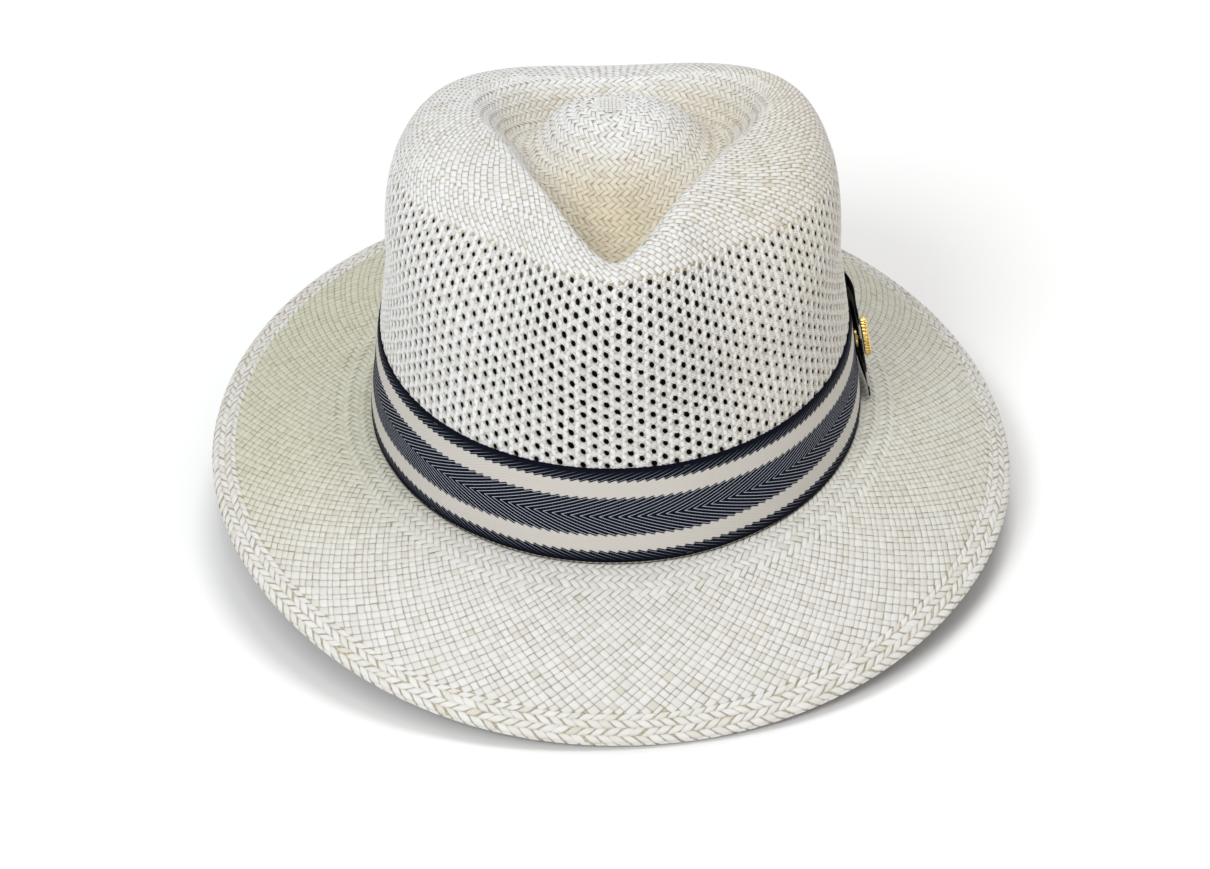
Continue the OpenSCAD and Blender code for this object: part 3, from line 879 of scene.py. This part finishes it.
def open_net(surface):
    """The layer under the lace's strands: a net with one round hole to each place of the pattern."""
    i, k = pairs(np.arange(LACE_COLUMNS), np.arange(-1, LACE_ROWS + 1))
    centre = np.stack([i * DC, (k + 0.5 * (i % 2)) * DR], -1)
    edge = np.array([[-1, -1], [0, -1], [1, -1], [1, 0], [1, 1], [0, 1], [-1, 1], [-1, 0]]) / 2
    angle = np.arctan2(edge[:, 1], edge[:, 0])
    size = rng.uniform(0.80, 1.14, (len(i), 8)) * rng.uniform(0.85, 1.08, (len(i), 1))
    size = size * (1 - 0.26 * tightness(centre[:, :1]))
    size = 0.5 * size + 0.25 * (np.roll(size, 1, 1) + np.roll(size, -1, 1))
    middle = centre + rng.normal(0, 1, centre.shape) * [0.035 * DC, 0.03 * DR]
    across, down = np.cos(angle) * LACE_HOLE + np.sin(angle) * 0.07, np.sin(angle) * LACE_HOLE
    hole = np.stack([across * DC * size, down * DR * size], -1) + middle[:, None]
    outline = centre[:, None] + edge[None] * [DC, DR]
    keep = (outline[..., 1].min(1) > -0.05) & (outline[..., 1].max(1) < 1.06)
    grid = np.stack([outline[keep], hole[keep]], 2)
    at, normals = surface.at(grid[..., 0], grid[..., 1])
    # each place's section runs from its outline to the hole, and back below
    outer, inner = at - normals * np.array([[0.00016], [0.00024]]), at - normals * 0.00060
    points = np.concatenate([outer, inner[:, :, ::-1]], 2)
    w = np.concatenate([grid, grid[:, :, ::-1]], 2)
    # painted shade: depth runs from 0 on the outer face to 1 inside, and the material darkens the hole walls
    # and the inside by it
    depth = np.broadcast_to([0.0, 0.3, 1.0, 1.0], w.shape[:3])
    coords = np.stack([w[..., 0] * surface.perimeter.mean(), w[..., 1] * surface.height, depth], -1)
    ring = [*range(8), 0]
    faces = quads(9, 4)[None] + (np.arange(len(points)) * 36)[:, None, None]
    values = {"lattice": coords[:, ring], "warmth": np.zeros((len(points), 9, 4))}
    net = Skin().add(points[:, ring], faces.reshape(-1, 4)[:, ::-1], **values)
    net.build("crown_openwork_net", straw_net, "straw", "crown")


def brim_pieces():
    f = DIRECTIONS[:, None]
    brim = Surface(brim_top(f, np.linspace(0, BORDER_FROM + 0.022, 90)[None]))
    skin = Skin()
    ring = RING_W / brim.height

    def painted_brim_shade(points):
        """Painted shade: greyer and darker towards the back, and more so on the left, where less light
        falls.
        """
        back = 0.35 * ease((points[..., 1] - 0.01) / 0.09)
        return ease((points[..., 1] + 0.11) / 0.09) * np.clip(0.65 - 2.6 * points[..., 0], 0.40, 1) + back

    twined = Weave(brim, BRIM_COLUMNS, RINGS, 0.0, RINGS * ring)
    twined.twill(skin, 0.00014, 0.00016, ("up", "down"), dark=0.50, warm=painted_brim_shade)
    plain = Weave(brim, BRIM_COLUMNS, 12, RINGS * ring, 1.0, uneven=0.20)
    plain.plain(skin, 0.00018, 0.00018, warm=painted_brim_shade)
    skin.build("brim_weave", straw_brim, "straw", "brim")

    under_lines = brim_top(f, np.linspace(BORDER_FROM + 0.012, 0, 90)[None]) - [0, 0, STRAW]
    below = Skin()
    under = Weave(Surface(under_lines), BRIM_COLUMNS, 17, 0.0, 1.0)
    under.plain(below, 0.00018, 0.00020, raised=-0.0001)
    below.build("brim_weave_under", straw_brim, "straw", "brim")
    plate("brim_core", brim, 0.0008, 0.00028, straw_plate, 420, 26, "straw", "brim")


def border_surface():
    """Skin of the braided edge: from its inner line over the top, round the edge and back below."""
    f = DIRECTIONS[:, None]
    inner, outer = brim_top(f, BORDER_FROM)[:, 0], brim_top(f, 1.0)[:, 0]
    half = np.linalg.norm(outer - inner, axis=1, keepdims=True) / 2
    out = (outer - inner) / (2 * half)
    up = unit(np.cross(np.roll(outer, -1, 0) - np.roll(outer, 1, 0), out))
    up = up * np.sign(up[:, 2:])
    middle = (inner + outer) / 2 - up * STRAW / 2
    # angles round the flattened section that are evenly spaced along it
    fine = np.linspace(180, -180, 1441)
    section = BORDER_W / 2 * spow(cosd(fine), 0.72), BORDER_T * 0.42 * spow(sind(fine), 0.72)
    run = run_length(np.stack(section, -1))
    a = np.interp(np.linspace(0, run[-1], 73), run, fine)[None, :, None]
    wide = out[:, None] * half[:, None] * 0.97 * spow(cosd(a), 0.72)
    return Surface(middle[:, None] + wide + up[:, None] * BORDER_T * 0.42 * spow(sind(a), 0.72))


def border_pieces():
    border = border_surface()
    skin = Skin()
    for number, t in enumerate((0.070, 0.180, 0.290, 0.400)):
        lean, shift = 0.44 * (-1) ** (number + 1), 0.5 * (number % 2)
        leaf_row(skin, border, t, 0.066, lean, 0.00011, 0.00013, shift, width=0.48)
    # the wrapped outer edge and the plainer underside
    leaf_row(skin, border, 0.50, 0.062, 0.44, 0.00012, 0.00014, shift=0.25)
    for number, t in enumerate((0.63, 0.77, 0.91)):
        lean, shift = 0.45 * (-1) ** (number + 1), 0.5 * (number % 2)
        leaf_row(skin, border, t, 0.085, lean, 0.00014, 0.00015, shift)
    skin.build("border_braid", straw_border, "straw_border", "brim_border")
    plate("border_core", border, 0.0003, 0.0002, straw_plate, 420, 40, "straw_border", "brim_border")


crown_pieces()
brim_pieces()
border_pieces()


# ---- ribbon, bow and pin


RIBBON_KIND = RIBBON_SHEET, ribbon, "ribbon"


def band():
    angles = np.linspace(KNOT_FROM + 3.2, KNOT_FROM + 2.8 + 360, 900)[:, None]
    z = np.linspace(RIBBON_Z, RIBBON_Z + RIBBON_W, 41)
    share = np.linspace(0, 1, 41)
    # a worn ribbon isn't quite flat: shallow waves, and edges that curl in a little
    waves = 0.00012 * sind(angles * 5 + 40) * sind(share * 180) + 0.00008 * sind(angles * 13)
    curl = -0.00030 * (2 * np.abs(share - 0.5)) ** 6
    outer = on_wall(angles, z, RIBBON_T + 0.00022 + waves + curl)
    along = run_length(outer[:, 20])
    piece = ribbon_solid("ribbon_band", outer, along, share, *RIBBON_KIND, "hatband")


def folded(name, angles, gaps, inset, along_from, stands_for, flare=0.0):
    """A ribbon folded over the band: angles and gaps give its path, seen from above."""
    share = np.linspace(0, 1, 25)
    inset = np.broadcast_to(inset, len(angles))[:, None]
    z = RIBBON_Z + inset + (RIBBON_W - 2 * inset) * share
    outer = on_wall(angles[:, None], z, gaps[:, None] + flare)
    along = along_from + run_length(outer[:, 12])
    piece = ribbon_solid(name, outer, along, share, *RIBBON_KIND, stands_for)


def bow():
    # tail: a free flap, its end cut straight, its lower front corner lifting away
    t, s = np.linspace(0, 1, 60), np.linspace(0, 1, 25)
    a = t[:, None]
    flare = 0.0009 * np.maximum(0, 1 - a * 2.6) ** 2 * np.maximum(0, 1 - s * 1.5) ** 1.5
    flare = flare + 0.0003 * np.sin(9 * a + 3 * s)
    angles = TAIL_FROM + (KNOT_FROM + 0.6 - TAIL_FROM) * t
    gaps = 2 * RIBBON_T + 0.0001 + TAIL_GAP - 0.0010 * ease((t - 0.66) / 0.34)
    folded("bow_tail_flap", angles, gaps, 0.0002, 0.012, "bow_tail", flare)

    # loop: out along the band, round its fold, and back over itself, fuller in the middle
    back = np.linspace(0, 1, 46)
    turn = np.linspace(-90, 90, 15)[1:-1]
    base, rise = RIBBON_T + 0.0009, 0.0016
    puff = 0.5 + 0.5 * sind(180 * np.minimum(1, 0.18 + 0.8 * back)) ** 0.6
    out = KNOT_FROM + 1 + (LOOP_TO - 1.6 - KNOT_FROM) * back
    angles = np.concatenate([out, LOOP_TO - 0.6 + 0.9 * cosd(turn), out[::-1]])
    fold = base + rise * puff[-1] * (1 + sind(turn)) / 2
    gaps = np.concatenate([np.full(46, base), fold, (base + rise * puff)[::-1]])
    pinch = 0.0022 * np.exp(-(((angles - KNOT_FROM) / 5) ** 2))
    folded("bow_loop_fold", angles, gaps, 0.0005 + pinch, 0.0, "bow_loop")


def knot():
    """A narrow wrap, the ribbon folded lengthwise, round the middle of the bow."""
    columns = np.linspace(KNOT_FROM, KNOT_TO, 17)
    a = np.linspace(-168, 168, 90)[:, None]
    # the wrap's section, in height and in distance from the wall
    height = RIBBON_Z + RIBBON_W / 2 + (RIBBON_W / 2 + 0.0008) * spow(sind(a), 0.35)
    depth = 0.0024 + 0.0013 * spow(cosd(a), 0.45)
    s = (columns - KNOT_FROM) / (KNOT_TO - KNOT_FROM)
    crease = 0.00022 * np.abs(sind(s * 540)) - 0.00055 * (2 * np.abs(s - 0.5)) ** 4
    grid = on_wall(columns, height, depth + crease * np.sign(cosd(a)))
    along, share = run_length(grid[:, 8]), np.linspace(0.13, 0.53, 17)
    piece = ribbon_solid("bow_knot_wrap", grid, along, share, *RIBBON_KIND, "bow_knot", out=-1)


def pin():
    """A round gilt button with a milled edge and a plain ringed face."""
    joint = frame["joints"][0]
    axis = Vector(joint["axis"]).normalized()
    origin = Vector(joint["pos_m"]) + axis * HEAD_BASE
    side = axis.cross(Vector((0, 0, 1))).normalized()
    ridges, each = 32, 12
    spin = np.arange(ridges * each)[:, None] * 2 * math.pi / (ridges * each)
    mill = 0.00032 * np.abs(np.cos(spin * ridges / 2)) ** 0.8
    # rings of the turned shape: inset from the edge and height, in tenths of a millimetre, and
    # how much of the milling the ring has
    profile = np.array([
        (64, 0, 0), (10, 0, 0), (5, 1, 0), (2, 3, 0.3), (1, 5, 1), (1, 12, 1), (1, 19, 1), (2, 21, 0.3),
        (5, 23, 0), (8, 24, 0), (12, 24, 0), (15, 22, 0), (18, 19, 0), (25, 19, 0), (28, 21, 0),
        (31, 21, 0), (34, 19, 0), (40, 20, 0), (46, 22, 0), (54, 24, 0), (62, 25, 0), (69.8, 25.3, 0),
    ])
    inset, height, milled = (profile * [0.0001, 0.0001, 1]).T
    r = PIN_R - inset - mill * milled
    local = np.stack(np.broadcast_arrays(r * np.cos(spin), r * np.sin(spin), height), -1)
    points = np.array(origin) + local @ np.array([side, side.cross(axis), axis])
    button = Skin().add(points, quads(*r.shape, closed=True))
    button.build("pin_button", gilt, "gilt", "pin_head", body="pin")


band()
bow()
knot()
pin()


# ---- sweatband and small parts


def sweatband():
    angles = np.linspace(90, 449.7, 720)[:, None]
    share = np.linspace(0, 1, 25)
    z = 0.0004 + (SWEAT_H - 0.0004) * share
    # soft leather: it stands away from the straw in shallow waves towards its upper edge
    lean = SWEAT_LOW + (SWEAT_HIGH - SWEAT_LOW) * np.minimum(1, 2 * share)
    waves = 0.00045 * np.maximum(0, sind(angles * 7)) * share**2
    outer = on_wall(angles, z, -(lean + LEATHER + waves))
    along = run_length(outer[:, 12])
    # its face is the inside, so the skin is turned round
    links = LEATHER * 0.95, leather, "sweat_leather", "sweatband"
    piece = ribbon_solid("sweatband_leather", outer[::-1], along, share, *links)


def reed():
    """The covered cord along the sweatband's lower edge."""
    oval, sides = np.linspace(0, 360, 480, endpoint=False), 12
    path = on_wall(oval, 0.0, -STRAW - 0.0005 - REED_R) - [0, 0, REED_R + 0.0001]
    ahead = unit(np.roll(path, -1, 0) - np.roll(path, 1, 0))
    side = unit(np.cross(ahead, [0, 0, 1]))
    a = np.arange(sides + 1)[:, None] * 2 * math.pi / sides
    ring = np.cos(a) * side[:, None] + np.sin(a) * np.cross(side, ahead)[:, None]
    cord = Skin().add(path[:, None] + REED_R * ring, quads(len(path), sides + 1, closed=True))
    cord.build("reed_cover", reed_leather, "reed_cover", "sweatband_reed")


def satin_bow():
    """The small bow at the back of the sweatband: two loops and a knot."""
    where = on_wall(90.0, 0.014, -(SWEAT_HIGH + LEATHER + 0.0003))
    tilt = math.radians(90 + LEAN_FRONT)
    # across, up along the leather, and in towards the head
    axes = np.array([[1, 0, 0], [0, math.cos(tilt), math.sin(tilt)], [0, -math.sin(tilt), math.cos(tilt)]])
    skin = Skin()

    def loop(*local):
        points = where + np.stack(np.broadcast_arrays(*local), -1) @ axes
        skin.add(points, quads(*points.shape[:2]))

    a, s = np.linspace(0, 2 * math.pi, 33)[:, None], np.linspace(-1, 1, 9)
    out = 0.0050 - 0.0046 * np.cos(a)
    wide = 0.0011 + 0.0021 * np.sin(a / 2) ** 1.4
    rise = 0.0010 + 0.00075 * np.sin(a) + 0.0001 * np.cos(6 * s)
    for turn in (1, -1):
        loop(turn * out, wide * s + turn * 0.10 * out, rise)
    a, s = np.linspace(0, 2 * math.pi, 25)[:, None], np.linspace(-1, 1, 7)
    bulge = 1 + 0.12 * np.cos(s * 1.5)
    loop(0.0014 * s, 0.0019 * bulge * np.sin(a), 0.0011 + 0.0009 * bulge * np.cos(a))
    skin.build("sweatband_satin_bow", satin, "bow_satin", "sweatband_bow")


sweatband()
reed()
satin_bow()

for node, material, slot in (
    ("sweatband_tape", tape_cotton, "seam_tape"),
    ("sweatband_stitches", pale_thread, "thread"),
    ("ribbon_tacks", dark_thread, "dark_thread"),
    ("pin_post", gilt, "gilt"),
    ("pin_backplate", gilt, "gilt"),
):
    part = frame["nodes"][node]
    part.data.materials.clear()
    part.data.materials.append(material)


# ---- floor, light and camera


def stage():
    low = min(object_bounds()[0].z, cad_box[0].z)
    half = 6.0
    mesh = bpy.data.meshes.new("floor")
    corners = [(x * half, y * half, low) for x, y in ((-1, -1), (1, -1), (1, 1), (-1, 1))]
    mesh.from_pydata(corners, [], [(0, 1, 2, 3)])
    mesh.materials.append(floor_material())
    floor = bpy.data.objects.new("floor", mesh)
    bpy.context.scene.collection.objects.link(floor)
    floor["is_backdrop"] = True

    scene = bpy.context.scene
    scene.view_settings.view_transform = "Standard"
    world = bpy.data.worlds.new("studio")
    world.use_nodes = True
    sky = world.node_tree.nodes["Background"]
    sky.inputs["Color"].default_value = (1.0, 1.0, 1.0, 1)
    sky.inputs["Strength"].default_value = 0.50
    scene.world = world

    for name, where, size, power, tint in (
        ("key", (-0.9, -1.5, 1.5), 0.8, 25.0, (0.97, 0.99, 1.0)),
        ("fill", (1.3, -1.3, 1.2), 1.2, 5.5, (1.0, 0.90, 0.80)),
        ("top", (0.2, 0.5, 2.1), 1.0, 16.0, (1.0, 1.0, 1.0)),
    ):
        lamp = bpy.data.lights.new(name, "AREA")
        lamp.shape, lamp.size, lamp.energy, lamp.color = "DISK", size, power, tint
        light = bpy.data.objects.new(name, lamp)
        light.location = where
        light.rotation_euler = (Vector((0, 0, 0.03)) - Vector(where)).to_track_quat("-Z", "Y").to_euler()
        scene.collection.objects.link(light)


def camera():
    elevation, distance, roll = math.radians(34.7), 0.900, math.radians(-1.14)
    target = Vector((-0.0041, 0.0, -0.0196))
    back = Vector((0, -math.cos(elevation), math.sin(elevation)))
    lens = bpy.data.cameras.new("photo_view")
    lens.sensor_width, lens.lens = 36.0, 73.6
    lens.clip_start, lens.clip_end = 0.01, 50.0
    eye = bpy.data.objects.new("photo_view", lens)
    eye.rotation_mode = "QUATERNION"
    eye.location = target + back * distance
    look = (-back).to_track_quat("-Z", "Y")
    eye.rotation_quaternion = look @ Quaternion((0, 0, 1), roll)
    bpy.context.scene.collection.objects.link(eye)
    bpy.context.scene.camera = eye


stage()
camera()
